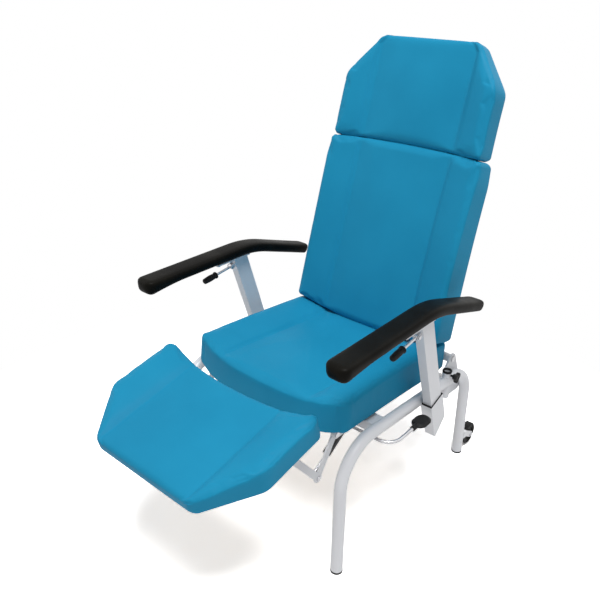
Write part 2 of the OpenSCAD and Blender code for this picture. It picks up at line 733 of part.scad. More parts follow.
// Leg rest
leg_bar_h = 14;
leg_bar_w = 25;
leg_bar_along = [44, 140];
arm_r = 10;
arm_along = [30, 154];
arm_top = [for (along = arm_along) leg_point(along, -board_t - leg_bar_h - arm_r)];
knee_rim = 1;
top_slim = 0.5;
arm_joint = leg_point(leg_seat_mark, -board_t - leg_bar_h - arm_r);
module leg_cushion() { color(blue) at_leg() cushion(seat_w, leg_l, leg_t, leg_tip_w, leg_cut, [0, 0, 1]); }
module leg_board() { color(wood) at_leg() translate([0, 0, -seat_gap]) board(seat_w, leg_l, leg_tip_w, leg_cut); }
module leg_bars() {
    half = leg_arm_x + plate_t;
    color(white) at_leg() for (y = leg_bar_along)
        translate([-half, y - leg_bar_w / 2, -board_t - seat_gap - leg_bar_h])
            cube([2 * half, leg_bar_w, leg_bar_h - seat_gap]);
}
module leg_arms() {
    color(white) both_sides() side_plane(leg_arm_x - plate_t / 2) difference() {
        linear_extrude(plate_t) {
            link(leg_hinge, leg_knee, arm_r);
            link(leg_knee, arm_joint, arm_r);
            link(arm_top[0], arm_top[1], arm_r - top_slim);
            translate(leg_hinge) circle(r = arm_eye_r);
            translate(leg_knee) circle(r = arm_eye_r + knee_rim);
        }
        pin_hole(leg_hinge, leg_pin_d, plate_t);
        pin_hole(leg_knee, spring_pin_d, plate_t);
    }
}
module leg_pins() {
    inner = plate_t / 2 + clevis_gap;
    outer = inner + clevis_t;
    color(steel) both_sides() side_plane(leg_arm_x) translate([leg_hinge[0], leg_hinge[1], 0]) {
        translate([0, 0, -inner - pin_head]) cylinder(h = inner + outer + 2 * pin_head, d = leg_pin_d);
        translate([0, 0, -inner - pin_head]) cylinder(h = pin_head, d = leg_pin_d + 2 * pin_rim);
        translate([0, 0, outer]) cylinder(h = pin_head, d = leg_pin_d + 2 * pin_rim);
    }
}
module knee_pins() {
    inner = leg_arm_x - spring_x + spring_eye_w / 2 + clevis_gap;
    color(steel) both_sides() side_plane(leg_arm_x) translate([leg_knee[0], leg_knee[1], 0]) {
        translate([0, 0, -inner - pin_head]) cylinder(h = inner + plate_t / 2 + 2 * pin_head, d = spring_pin_d);
        translate([0, 0, -inner - pin_head]) cylinder(h = pin_head, d = spring_pin_d + 2 * pin_rim);
        translate([0, 0, plate_t / 2]) cylinder(h = pin_head, d = spring_pin_d + 2 * pin_rim);
    }
}

// Gas springs: the cylinder turns on its anchor and the rod on the moving part
module spring_cylinder(from, to, x, length, neck) {
    color(black) side_plane(x) translate([from[0], from[1], 0]) rotate(dir_angle(from, to)) difference() {
        union() {
            translate([0, 0, -spring_eye_w / 2]) cylinder(h = spring_eye_w, r = spring_eye_r);
            translate([spring_eye_r - eye_bite, 0, 0]) rotate([0, 90, 0])
                cylinder(h = neck - spring_eye_r + 2 * eye_bite, d = spring_eye_w);
            translate([neck, 0, 0]) rotate([0, 90, 0]) cylinder(h = length - neck, d = cylinder_d);
        }
        translate([0, 0, -spring_eye_w]) cylinder(h = 2 * spring_eye_w, d = spring_pin_d + 2 * run_gap);
        translate([neck + cylinder_base, 0, 0]) rotate([0, 90, 0]) cylinder(h = length, d = cylinder_bore);
    }
}
module spring_rod(from, to, x, inside) {
    length = dist(from, to) - inside;
    color(steel) side_plane(x) translate([to[0], to[1], 0]) rotate(dir_angle(to, from)) difference() {
        union() {
            translate([0, 0, -spring_eye_w / 2]) cylinder(h = spring_eye_w, r = spring_eye_r);
            translate([spring_eye_r - eye_bite, 0, 0]) rotate([0, 90, 0])
                cylinder(h = length - spring_eye_r + eye_bite, d = rod_d);
            translate([spring_eye_r - eye_bite, 0, 0]) rotate([0, 90, 0]) cylinder(h = nut_l, d = rod_d + eye_bite);
        }
        translate([0, 0, -spring_eye_w]) cylinder(h = 2 * spring_eye_w, d = spring_pin_d + 2 * run_gap);
    }
}
leg_rod_inside = 70.5;
eye_bite = 2;
nut_l = 11;
spring_neck = 16;
cylinder_base = 4;
back_rod_inside = 85;
module leg_spring_cylinder() { spring_cylinder(leg_anchor, leg_knee, spring_x, leg_cylinder_l, spring_neck); }
module leg_spring_rod() { spring_rod(leg_anchor, leg_knee, spring_x, leg_rod_inside); }
module back_spring_cylinder() { spring_cylinder(back_anchor, back_lug, 0, back_cylinder_l, spring_neck); }
module back_spring_rod() { spring_rod(back_anchor, back_lug, 0, back_rod_inside); }
module cross_pin(at, x) {
    reach = spring_eye_w / 2 + clevis_gap + clevis_t;
    side_plane(x) translate([at[0], at[1], 0]) {
        translate([0, 0, -reach]) cylinder(h = 2 * reach, d = spring_pin_d);
        for (side = [-1, 1]) translate([0, 0, side * (reach + pin_head / 2) - pin_head / 2])
            cylinder(h = pin_head, d = spring_pin_d + 2 * pin_rim);
    }
}
module anchor_pins() { color(steel) { cross_pin(leg_anchor, spring_x); cross_pin(back_anchor, 0); } }
module back_lug_pin() { color(steel) cross_pin(back_lug, 0); }

// Release lever: a rod along X, bent rearwards outside the side tube
release_slope = atan2(paddle_z - release_at[1], paddle_y - release_at[0]);
release_bend_r = 42;
rod_in_paddle = 12;
rod_hub_l = 10;
neck_wall = 2.5;
neck_l = 14;
release_len = norm([paddle_z - release_at[1], paddle_y - release_at[0]]);
module at_release() { translate([0, release_at[0], release_at[1]]) rotate([release_slope, 0, 0]) children(); }
module release_rod() {
    a = [release_x0, 0];
    b = [release_x1, 0];
    c = [release_x1, release_len - paddle_l / 2 + rod_in_paddle];
    off = release_bend_r;
    color(steel) at_release() {
        run(a, b - [off, 0], release_rod_d);
        bend(c, b, a, release_bend_r) circle(d = release_rod_d);
        run(b + [0, off], c, release_rod_d);
        translate([spring_x - rod_hub_l / 2, 0, 0]) rotate([0, 90, 0])
            cylinder(h = rod_hub_l, d = release_rod_d + 2 * pin_rim);
    }
}
module release_paddle() {
    color(black) at_release() translate([release_x1, 0, 0]) difference() {
        union() {
            translate([0, release_len, 0]) hull() for (side = [-1, 1])
                translate([0, side * (paddle_l - paddle_w) / 2, 0]) rotate_extrude($fn = 32)
                    polygon([[0, -paddle_t / 2], [paddle_w * 0.36, -paddle_t / 2], [paddle_w / 2, -paddle_t / 8],
                        [paddle_w / 2, paddle_t / 8], [paddle_w * 0.36, paddle_t / 2], [0, paddle_t / 2]]);
            translate([0, release_len - paddle_l / 2 - neck_l, 0]) rotate([-90, 0, 0])
                cylinder(h = neck_l + rod_in_paddle, d = release_rod_d + 2 * neck_wall);
        }
        translate([0, release_len - paddle_l / 2 - neck_l - over, 0]) rotate([-90, 0, 0])
            cylinder(h = neck_l + rod_in_paddle + over + seat_gap, d = release_rod_d + 2 * run_gap);
    }
}

// Armrests
pad_bottom = pad_z - pad_t;
module below(z) {
    difference() {
        children();
        translate([-seat_w, -seat_w, z]) cube([2 * seat_w, 3 * seat_w, seat_w]);
    }
}
module at_post() { translate([post_x, sleeve_mouth[0], sleeve_mouth[1]]) rotate([post_lean, 0, 0]) children(); }
post_wall = 2.5;
lever_pivot = [192, 603];
lever_angle = 7.5;
lever_ear_r = 7;
lever_pin_d = 6;
lever_hub_w = 9;
ear_t = 3;
module post(side) {
    color(white) sided(side) {
        difference() {
            below(pad_bottom - pad_plate_t) at_post() translate([-post_w / 2, -post_d / 2, -post_down])
                cube([post_w, post_d, post_down + post_up + pad_t]);
            below(pad_bottom - pad_plate_t + over) at_post()
                translate([-post_w / 2 + post_wall, -post_d / 2 + post_wall, -post_down - over])
                    cube([post_w - 2 * post_wall, post_d - 2 * post_wall, post_down + post_up + pad_t]);
        }
        for (turn = [-1, 1]) difference() {
            side_plane(post_x + turn * (lever_hub_w / 2 + ear_gap + ear_t / 2) - ear_t / 2) difference() {
                linear_extrude(ear_t) link(lever_pivot, lever_pivot + ear_foot, lever_ear_r);
                pin_hole(lever_pivot, lever_pin_d, ear_t);
            }
            at_post() translate([-post_w / 2, -post_d / 2, 0]) cube([post_w, post_d, post_up + pad_t]);
        }
    }
}
module post_left() { post(1); }
module post_right() { post(-1); }
pad_plate_w = 44;
pad_plate_l = 130;
pad_plate_y = 116;
ear_foot = [20, 8];
ear_gap = 0.4;
screw_head_h = 3;
screw_head_d = 9;
lever_cap_h = 2.4;
lever_cap_rim = 2.5;
pad_screw_share = 0.34;
module pad_plate(side) {
    color(white) sided(side) translate([pad_x - pad_plate_w / 2, pad_plate_y, pad_bottom - pad_plate_t])
        cube([pad_plate_w, pad_plate_l, pad_plate_t - seat_gap]);
}
module pad_plate_left() { pad_plate(1); }
module pad_plate_right() { pad_plate(-1); }
module arm_pins(side) {
    reach = lever_hub_w / 2 + ear_gap + ear_t;
    color(black) sided(side) {
        side_plane(post_x - reach) translate([lever_pivot[0], lever_pivot[1], 0])
            cylinder(h = 2 * reach, d = lever_pin_d);
        side_plane(post_x + reach) translate([lever_pivot[0], lever_pivot[1], 0])
            cylinder(h = lever_cap_h, d = lever_pin_d + 2 * lever_cap_rim);
        for (share = [0.08, 0.42], turn = [-1, 1]) translate([pad_x + turn * pad_plate_w * pad_screw_share,
            pad_plate_y + pad_plate_l * share, pad_bottom - pad_plate_t - screw_head_h])
            cylinder(h = screw_head_h, d = screw_head_d);
    }
}
module arm_pins_left() { arm_pins(1); }
module arm_pins_right() { arm_pins(-1); }

// Armrest pad: rounded section carried along a path that bends down towards the rear
pad_bend_r = 170;
pad_n = 20;
pad_power = 0.5;
pad_end = 24;
pad_flare = 13;
pad_flare_l = 115;
pad_bend_l = pad_bend_r * pad_fall * PI / 180;
pad_flat_l = pad_knee_y - pad_front_y - pad_bend_r * tan(pad_fall / 2);
function pad_line(s) = s < pad_flat_l ? [pad_front_y + s, 0]
    : s < pad_flat_l + pad_bend_l ? let(a = (s - pad_flat_l) / pad_bend_r * 180 / PI)
        [pad_front_y + pad_flat_l + pad_bend_r * sin(a), -pad_bend_r * (1 - cos(a))]
    : let(r = s - pad_flat_l - pad_bend_l)
        [pad_front_y + pad_flat_l + pad_bend_r * sin(pad_fall) + r * cos(pad_fall),
            -pad_bend_r * (1 - cos(pad_fall)) - r * sin(pad_fall)];
function pad_turn(s) = s < pad_flat_l ? 0 : min(pad_fall, (s - pad_flat_l) / pad_bend_r * 180 / PI);
function signed_pow(v, p) = sign(v) * pow(abs(v), p);
function pad_low(s) = pad_flare * pow(max(0, 1 - s / pad_flare_l), 1.5);
function pad_ring(s) = let(e = min(s, pad_l - s), shrink = ease(e, pad_end), c = pad_line(s), a = pad_turn(s))
    [for (i = [0:pad_n - 1]) let(t = 90 - i * 360 / pad_n + 180 / pad_n, half = pad_w / 2 - shrink * 0.75,
        high = pad_t / 2 - shrink * 0.36, x = half * signed_pow(cos(t), pad_power), z = (sin(t) < 0 ? high + pad_low(s) : high) * signed_pow(sin(t), pad_power))
        [x, c[0] + z * sin(a), pad_z - pad_t / 2 + c[1] + z * cos(a)]];
pad_mid_shares = [0.1, 0.3, 0.5];
function pad_stations() = concat([for (s = [0, 0.08, 0.3, 0.62, 1]) pad_end * s],
    [for (s = pad_mid_shares) pad_flat_l * s], [for (s = [0:0.25:1]) pad_flat_l + pad_bend_l * s],
    [for (s = [0.5]) pad_flat_l + pad_bend_l + (pad_l - pad_flat_l - pad_bend_l) * s],
    [for (s = [1, 0.62, 0.3, 0.08, 0]) pad_l - pad_end * s]);
module pad(side) {
    ss = pad_stations();
    rings = [for (s = ss) pad_ring(s)];
    color(black) sided(side) translate([pad_x, 0, 0]) polyhedron(points = [for (ring = rings) each ring],
        faces = concat(skin_faces(pad_n, len(ss)), [[for (i = [0:pad_n - 1]) i]],
            [[for (i = [pad_n - 1:-1:0]) (len(ss) - 1) * pad_n + i]]));
}
module pad_left() { pad(1); }
module pad_right() { pad(-1); }

// Under-arm lever: a hub on the post's ears, a short rod and a round grip
module at_lever(side) {
    sided(side) translate([post_x, lever_pivot[0], lever_pivot[1]]) rotate([lever_angle, 0, 0]) children();
}
grip_end = 8;
grip_collar = [4, 1.5];
grip_tip = [3, 2.5];
module arm_lever(side) {
    color(steel) at_lever(side) difference() {
        union() {
            translate([-lever_hub_w / 2, 0, 0]) rotate([0, 90, 0]) cylinder(h = lever_hub_w, r = lever_ear_r);
            rotate([90, 0, 0]) cylinder(h = lever_len + grip_len - grip_end, d = lever_rod_d);
        }
        translate([-lever_hub_w, 0, 0]) rotate([0, 90, 0]) cylinder(h = 2 * lever_hub_w, d = lever_pin_d + 2 * run_gap);
    }
}
module arm_lever_left() { arm_lever(1); }
module arm_lever_right() { arm_lever(-1); }
module grip(side) {
    color(black) at_lever(side) translate([0, -lever_len - grip_len, 0]) difference() {
        union() {
            rotate([-90, 0, 0]) cylinder(h = grip_len - grip_collar[0] / 2, d = grip_d);
            translate([0, grip_len - grip_collar[0], 0]) rotate([-90, 0, 0])
                cylinder(h = grip_collar[0], d = grip_d + 2 * grip_collar[1]);
            rotate([90, 0, 0]) cylinder(h = grip_tip[0], d1 = grip_d, d2 = grip_d - 2 * grip_tip[1]);
        }
        translate([0, grip_end, 0]) rotate([-90, 0, 0]) cylinder(h = grip_len, d = lever_rod_d + 2 * run_gap);
    }
}
module grip_left() { grip(1); }
module grip_right() { grip(-1); }

module side_frame_left() { side_frame(1); }
module side_frame_right() { side_frame(-1); }

chair() side_frame_left();
chair() side_frame_right();
chair() foot_caps();
chair() front_rail();
chair() rear_rail();
chair() hinge_plates();
chair() lower_cross_bar();
chair() leg_clevises();
chair() spring_anchor();
chair() lever_guides();
chair() sleeve_left();
chair() sleeve_right();
chair() glide_collars();
chair() accessory_sockets();
chair() socket_bushes();
chair() wheel_forks();
chair() wheel_axles();
chair() wheel_left();
chair() wheel_right();
chair() seat_board();
chair() seat_cushion();
chair() board_screws();
chair() back_frame();
chair() back_board();
chair() back_cushion();
chair() head_board();
chair() head_cushion();
chair() back_pins();
chair() leg_arms();
chair() leg_bars();
chair() leg_board();
chair() leg_cushion();
chair() leg_pins();
chair() knee_pins();
chair() leg_spring_cylinder();
chair() leg_spring_rod();
chair() back_spring_cylinder();
chair() back_spring_rod();
chair() anchor_pins();
chair() back_lug_pin();
chair() release_rod();
chair() release_paddle();
chair() post_left();
chair() post_right();
chair() pad_plate_left();
chair() pad_plate_right();
chair() pad_left();
chair() pad_right();
chair() arm_pins_left();
chair() arm_pins_right();
chair() arm_lever_left();
chair() arm_lever_right();
chair() grip_left();
chair() grip_right();
chair() knob_left();
chair() knob_right();
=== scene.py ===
"""Looks of the phlebotomy chair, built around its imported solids.

Lengths are millimetres in the chair's own coordinates: X across, Y from the seat's front edge to the
rear, Z up from the floor. place() turns them into metres in the shared frame.
"""
import json
import math

import bmesh
import bpy
import numpy as np
from mathutils import Matrix, Vector


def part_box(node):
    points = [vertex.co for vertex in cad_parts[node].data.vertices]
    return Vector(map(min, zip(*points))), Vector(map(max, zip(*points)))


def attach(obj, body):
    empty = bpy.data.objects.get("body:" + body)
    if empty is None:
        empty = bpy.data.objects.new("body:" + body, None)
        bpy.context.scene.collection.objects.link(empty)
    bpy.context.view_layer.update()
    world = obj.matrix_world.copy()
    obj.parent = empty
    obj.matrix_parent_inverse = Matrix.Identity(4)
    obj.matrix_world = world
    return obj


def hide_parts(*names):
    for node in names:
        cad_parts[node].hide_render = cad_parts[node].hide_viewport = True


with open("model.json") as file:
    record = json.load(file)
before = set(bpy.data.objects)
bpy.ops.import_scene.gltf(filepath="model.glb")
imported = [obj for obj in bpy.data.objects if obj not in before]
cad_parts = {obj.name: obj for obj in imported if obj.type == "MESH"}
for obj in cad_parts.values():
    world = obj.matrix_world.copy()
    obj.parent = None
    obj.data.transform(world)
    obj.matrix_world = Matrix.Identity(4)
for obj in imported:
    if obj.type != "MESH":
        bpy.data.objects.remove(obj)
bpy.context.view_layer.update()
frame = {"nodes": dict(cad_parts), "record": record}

MIDDLE = 159.798
SIDES = (("left", 1), ("right", -1))

# Numbers shared with the solids
POST_X = 318.4
POST_LEAN = 18.5
SLEEVE_MOUTH = (310.0, 362.0)
LEVER_PIVOT = (192.0, 603.0)
LEVER_ANGLE = 7.5
BACK_LEAN = 16.9
BACK_FOOT = np.array([0, 480.98, 436.65])


def place(points):
    """Millimetres in chair coordinates to metres in the shared frame."""
    p = np.array(points, float)
    return (p - np.array([0.0, MIDDLE, 0.0])) / 1000.0


def new_object(name, verts, faces):
    """A mesh object at the origin whose faces are smooth and point outwards."""
    mesh = bpy.data.meshes.new(name)
    mesh.from_pydata([tuple(v) for v in np.asarray(verts)], [], [tuple(f) for f in faces])
    work = bmesh.new()
    work.from_mesh(mesh)
    bmesh.ops.remove_doubles(work, verts=work.verts, dist=1e-6)
    bmesh.ops.recalc_face_normals(work, faces=work.faces)
    work.to_mesh(mesh)
    work.free()
    mesh.polygons.foreach_set("use_smooth", np.ones(len(mesh.polygons), bool))
    obj = bpy.data.objects.new(name, mesh)
    bpy.context.scene.collection.objects.link(obj)
    return obj


def ring_quads(m, n):
    """Quads between m closed rings of n points."""
    i, j = np.meshgrid(np.arange(m - 1), np.arange(n), indexing="ij")
    k = (j + 1) % n
    return np.stack([i * n + j, (i + 1) * n + j, (i + 1) * n + k, i * n + k], -1).reshape(-1, 4).tolist()


def tube_grid(rings):
    """Points and faces of closed rings joined one to the next, with a fan at each end; rings is (m, n, 3)."""
    m, n = rings.shape[:2]
    ring = np.arange(n)
    nxt = (ring + 1) % n
    first = np.stack([np.full(n, m * n), ring, nxt], -1)
    last = np.stack([np.full(n, m * n + 1), (m - 1) * n + nxt, (m - 1) * n + ring], -1)
    verts = np.concatenate([rings.reshape(-1, 3), rings[:1].mean(1), rings[-1:].mean(1)])
    return verts, ring_quads(m, n) + first.tolist() + last.tolist()


def skin(name, rings):
    """A closed surface through rings given in chair millimetres."""
    verts, faces = tube_grid(np.asarray(rings, float))
    return new_object(name, place(verts), faces)


def basis(direction):
    """Two unit vectors square to a direction, and the direction itself."""
    d = np.array(direction, float)
    d /= np.linalg.norm(d)
    side = np.cross(d, [1.0, 0.0, 0.0]) if abs(d[0]) < 0.9 else np.cross(d, [0.0, 0.0, 1.0])
    side /= np.linalg.norm(side)
    return side, np.cross(d, side), d


def turned(name, origin, direction, profile, segments):
    """A profile of (radius, height) turned about a direction."""
    u, v, w = basis(direction)
    profile = np.array(profile, float)
    t = np.linspace(0, 2 * np.pi, segments, endpoint=False)
    radius = profile[:, :1] * np.ones_like(t)
    rings = (np.array(origin, float) + radius[..., None] * (np.cos(t)[:, None] * u + np.sin(t)[:, None] * v)
             + profile[:, 1][:, None, None] * w)
    return skin(name, rings)


def evaluated(obj):
    """The object's mesh with its modifiers applied."""
    graph = bpy.context.evaluated_depsgraph_get()
    graph.update()
    return bpy.data.meshes.new_from_object(obj.evaluated_get(graph))


def bake(obj):
    """Applies the modifiers for good."""
    mesh = evaluated(obj)
    obj.modifiers.clear()
    obj.data = mesh


def points_of(mesh):
    co = np.zeros(len(mesh.vertices) * 3)
    mesh.vertices.foreach_get("co", co)
    return co.reshape(-1, 3)


def set_points(mesh, co):
    mesh.vertices.foreach_set("co", np.ascontiguousarray(co, float).ravel())
    mesh.update()


# Materials
def spread(tree, value, low, high, a, b):
    """A value from low..high turned into a..b."""
    node = tree.nodes.new("ShaderNodeMapRange")
    for key, number in zip(("From Min", "From Max", "To Min", "To Max"), (low, high, a, b)):
        node.inputs[key].default_value = number
    tree.links.new(value, node.inputs["Value"])
    return node.outputs["Result"]


class Finish:
    """A material being made: patterns on object coordinates are linked to its shader."""

    def __init__(self, name, colour, roughness, metallic=0.0, specular=0.5):
        self.mat = bpy.data.materials.new(name)
        self.mat.use_nodes = True
        self.tree = self.mat.node_tree
        self.shader = self.tree.nodes["Principled BSDF"]
        self.shader.inputs["Base Color"].default_value = (*colour, 1)
        self.shader.inputs["Roughness"].default_value = roughness
        self.shader.inputs["Metallic"].default_value = metallic
        self.shader.inputs["Specular IOR Level"].default_value = specular
        self.where = self.tree.nodes.new("ShaderNodeTexCoord").outputs["Object"]

    def grain(self, scale, detail=3.0, stretch=None):
        """Cloudy noise with that many features to the metre, scaled along each axis by stretch."""
        where = self.where
        if stretch:
            mapping = self.tree.nodes.new("ShaderNodeMapping")
            mapping.inputs["Scale"].default_value = stretch
            self.tree.links.new(where, mapping.inputs["Vector"])
            where = mapping.outputs["Vector"]
        noise = self.tree.nodes.new("ShaderNodeTexNoise")
        noise.inputs["Scale"].default_value = scale
        noise.inputs["Detail"].default_value = detail
        self.tree.links.new(where, noise.inputs["Vector"])
        return noise.outputs["Fac"]

    def cells(self, scale):
        """Pebbled cells, that many to the metre."""
        voronoi = self.tree.nodes.new("ShaderNodeTexVoronoi")
        voronoi.inputs["Scale"].default_value = scale
        self.tree.links.new(self.where, voronoi.inputs["Vector"])
        return voronoi.outputs["Distance"]

    def colour(self, value, low, high, first, second):
        """Goes from the first colour to the second as a pattern's value goes from low to high."""
        mix = self.tree.nodes.new("ShaderNodeMix")
        mix.data_type = "RGBA"
        mix.inputs["A"].default_value = (*first, 1)
        mix.inputs["B"].default_value = (*second, 1)
        self.tree.links.new(spread(self.tree, value, low, high, 0, 1), mix.inputs["Factor"])
        self.tree.links.new(mix.outputs["Result"], self.shader.inputs["Base Color"])

    def roughness(self, value, a, b):
        """Roughness from a to b over the middle of a pattern's range."""
        self.tree.links.new(spread(self.tree, value, 0.3, 0.7, a, b), self.shader.inputs["Roughness"])

    def relief(self, *layers):
        """Bumps laid one on another; each layer is (height value, depth in metres, strength)."""
        below = None
        for value, depth, strength in layers:
            bump = self.tree.nodes.new("ShaderNodeBump")
            bump.inputs["Distance"].default_value = depth
            bump.inputs["Strength"].default_value = strength
            self.tree.links.new(value, bump.inputs["Height"])
            if below:
                self.tree.links.new(below, bump.inputs["Normal"])
            below = bump.outputs["Normal"]
        self.tree.links.new(below, self.shader.inputs["Normal"])


def petrol_vinyl():
    """Upholstery vinyl: pebbled cells over a fine grain, in slightly uneven blue."""
    vinyl = Finish("petrol_vinyl", (0.013, 0.256, 0.445), 0.48, specular=0.07)
    vinyl.colour(vinyl.grain(5.0, 4.0), 0.3, 0.7, (0.012, 0.240, 0.422), (0.015, 0.272, 0.468))
    vinyl.roughness(vinyl.grain(240.0), 0.42, 0.52)
    vinyl.relief((vinyl.cells(520.0), 0.00022, 0.35), (vinyl.grain(1400.0, 2.0), 0.0001, 0.25))
    return vinyl.mat


def armrest_foam():
    """Black moulded foam skin: soft satin with a fine leather-like grain and faint rubbed patches."""
    foam = Finish("armrest_foam", (0.008, 0.007, 0.006), 0.42, specular=0.06)
    worn = foam.grain(14.0, 4.0)
    foam.colour(worn, 0.45, 0.75, (0.0028, 0.0025, 0.0018), (0.0065, 0.0058, 0.0040))
    foam.roughness(worn, 0.52, 0.42)
    foam.relief((foam.cells(620.0), 0.0002, 0.4), (foam.grain(90.0), 0.0006, 0.12))
    return foam.mat


def powder_coat():
    """White powder coat: satin with the faint orange peel of baked powder."""
    paint = Finish("powder_coat", (0.70, 0.70, 0.745), 0.36)
    paint.colour(paint.grain(8.0), 0.3, 0.7, (0.745, 0.755, 0.785), (0.775, 0.785, 0.81))
    paint.roughness(paint.grain(60.0), 0.30, 0.40)
    paint.relief((paint.grain(420.0, 1.0), 0.0002, 0.18))
    return paint.mat


def moulded_black():
    """Black moulded plastic with a spark-eroded texture."""
    plastic = Finish("moulded_black", (0.012, 0.012, 0.013), 0.5, specular=0.14)
    dust = plastic.grain(30.0, 5.0)
    plastic.colour(dust, 0.4, 0.8, (0.010, 0.010, 0.011), (0.022, 0.021, 0.021))
    plastic.roughness(dust, 0.44, 0.58)
    plastic.relief((plastic.grain(1500.0, 2.0), 0.0001, 0.3))
    return plastic.mat


def bright_steel():
    """Drawn steel rod: bright, with fine lines and softer patches."""
    steel = Finish("bright_steel", (0.62, 0.62, 0.64), 0.24, metallic=1.0)
    lines = steel.grain(300.0, 4.0, stretch=(1.0, 6.0, 6.0))
    steel.roughness(lines, 0.18, 0.34)
    steel.colour(steel.grain(25.0), 0.3, 0.7, (0.56, 0.56, 0.575), (0.68, 0.68, 0.70))
    steel.relief((lines, 0.00005, 0.3))
    return steel.mat


def spring_black():
    """Black lacquered steel tube of a gas spring."""
    lacquer = Finish("spring_black", (0.014, 0.014, 0.015), 0.28)
    peel = lacquer.grain(260.0, 2.0)
    lacquer.roughness(peel, 0.22, 0.36)
    lacquer.relief((peel, 0.0001, 0.2))
    return lacquer.mat


def board_ply():
    """Birch plywood board: long pale grain with darker pores."""
    ply = Finish("board_ply", (0.50, 0.36, 0.21), 0.6)
    lines = ply.grain(26.0, 6.0, stretch=(9.0, 0.7, 3.0))
    ply.colour(lines, 0.3, 0.7, (0.40, 0.27, 0.15), (0.60, 0.46, 0.29))
    ply.relief((ply.grain(240.0, 4.0, stretch=(3.0, 0.3, 3.0)), 0.0003, 0.35))
    return ply.mat


VINYL = petrol_vinyl()
FOAM = armrest_foam()
PAINT = powder_coat()
PLASTIC = moulded_black()
STEEL = bright_steel()
LACQUER = spring_black()
PLY = board_ply()
SLOT_FINISH = {"vinyl_blue": VINYL, "pad_black": FOAM, "frame_white": PAINT, "plastic_black": PLASTIC,
               "steel": STEEL, "spring_black": LACQUER, "board": PLY}

node_slot = {part["node"]: part["material_slot"] for part in frame["record"]["subparts"]}
node_body = {node: body for body, nodes in frame["record"]["behaviour"]["bodies"].items() for node in nodes}


def wear(obj, material):
    obj.data.materials.clear()
    obj.data.materials.append(material)


for node, obj in frame["nodes"].items():
    wear(obj, SLOT_FINISH[node_slot[node]])


def dress(obj, material, slot, body, *nodes):
    """Gives a finished piece its finish, its body and the solids that it stands for."""
    wear(obj, material)
    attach(obj, body)
    if nodes:
        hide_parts(*nodes)


def solid_copy(node, name):
    """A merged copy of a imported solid's mesh, its flat areas made single faces."""
    mesh = frame["nodes"][node].data.copy()
    work = bmesh.new()
    work.from_mesh(mesh)
    bmesh.ops.remove_doubles(work, verts=work.verts, dist=2e-6)
    bmesh.ops.dissolve_limit(work, angle_limit=math.radians(0.5), verts=work.verts, edges=work.edges)
    work.to_mesh(mesh)
    work.free()
    obj = bpy.data.objects.new(name, mesh)
    bpy.context.scene.collection.objects.link(obj)
    return obj


SHARP = math.radians(35)


def eased(node, width):
    """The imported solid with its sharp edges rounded, as on welded and painted steel."""
    obj = solid_copy(node, node + "_eased")
    bevel = obj.modifiers.new("edges", "BEVEL")
    bevel.width = width / 1000
    bevel.segments = 3
    bevel.limit_method = "ANGLE"
    bevel.angle_limit = SHARP
    bevel.harden_normals = True
    obj.data.polygons.foreach_set("use_smooth", np.ones(len(obj.data.polygons), bool))
    obj.data.set_sharp_from_angle(angle=SHARP)
    dress(obj, SLOT_FINISH[node_slot[node]], node_slot[node], node_body[node], node)


EASED = {
    "hinge_plates": 0.8, "leg_clevises": 0.8, "spring_anchor": 0.8, "lever_guides": 0.8, "sleeve_left": 1.0,
    "sleeve_right": 1.0, "wheel_forks": 0.6, "back_frame": 1.2, "leg_arms": 1.0, "leg_bars": 1.2,
    "post_left": 1.6, "post_right": 1.6, "pad_plate_left": 0.8, "pad_plate_right": 0.8,
    "accessory_sockets": 0.8, "socket_bushes": 0.8, "glide_collars": 0.4, "front_rail": 1.6,
    "rear_rail": 1.6, "back_board": 1.0, "head_board": 1.0, "seat_board": 1.0, "leg_board": 1.0,
    "board_screws": 0.8, "wheel_axles": 0.8, "back_pins": 0.8, "leg_pins": 0.6, "knee_pins": 0.6,
    "anchor_pins": 0.6, "back_lug_pin": 0.6, "arm_pins_left": 0.6, "arm_pins_right": 0.6,
    "leg_spring_cylinder": 1.0, "back_spring_cylinder": 1.0, "leg_spring_rod": 0.5, "back_spring_rod": 0.5,
}
for node, width in EASED.items():
    eased(node, width)


def flatten_collars(share):
    """The collars' lips show as a thin line: they keep that share of their height over the sleeve's mouth."""
    obj = bpy.data.objects["glide_collars_eased"]
    lean = math.radians(POST_LEAN)
    up = np.array([0.0, -math.sin(lean), math.cos(lean)])
    co = points_of(obj.data)
    height = (co - place([(0.0, *SLEEVE_MOUTH)])) @ up
    lip = height > 0
    co[lip] -= np.outer(height[lip] * (1 - share), up)
    set_points(obj.data, co)


COLLAR_SHARE = 0.4
flatten_collars(COLLAR_SHARE)


# Cushions: a bucket section swept along each panel, blown up a little as cloth between its held creases
CREASE = 150.0
FLAT_ROOM = 10.0
WING = 24.0
WING_RAMP = 1.6
WING_PUFF = 2.5
WING_LIFT = 4.5
CROWN = 6.0
CROWN_POWER = 0.8
CREASE_DEEP = 1.5
CREASE_SOFT = 6.5
WAIST = 3.0
CORNER_SOFT = 5.5
TOP_ROLL = 12.0
LOW_ROLL = 7.0
RIM_WIDE = 10.5
RIM_STEP = 3.5
RIM_END = 12.0
LIP_LONG = 30.0
DENT_EDGE = 12.0
DENT_FADE = 55.0

# How finely a cover is divided: stations and their dense reach, along it and across its half width
ALONG_COUNT = 80
ALONG_REACH = 26.0
ACROSS_COUNT = 72
ACROSS_REACH = 0.075

# The air in a cover: what is held, how many frames it blows and how far a point may move
FOLD_HELD = 4.0
BASE_HELD = 6.0
SWELL_FRAMES = 18
SWELL_MOST = 3.5


def ease_edge(a, b, r):
    """How far a rounded edge of radius r falls below its face, a and b being the distances to two sides."""
    p, q = np.maximum(0, r - a), np.maximum(0, r - b)
    return r - np.sqrt(np.maximum(0, r * r - p * p - q * q))


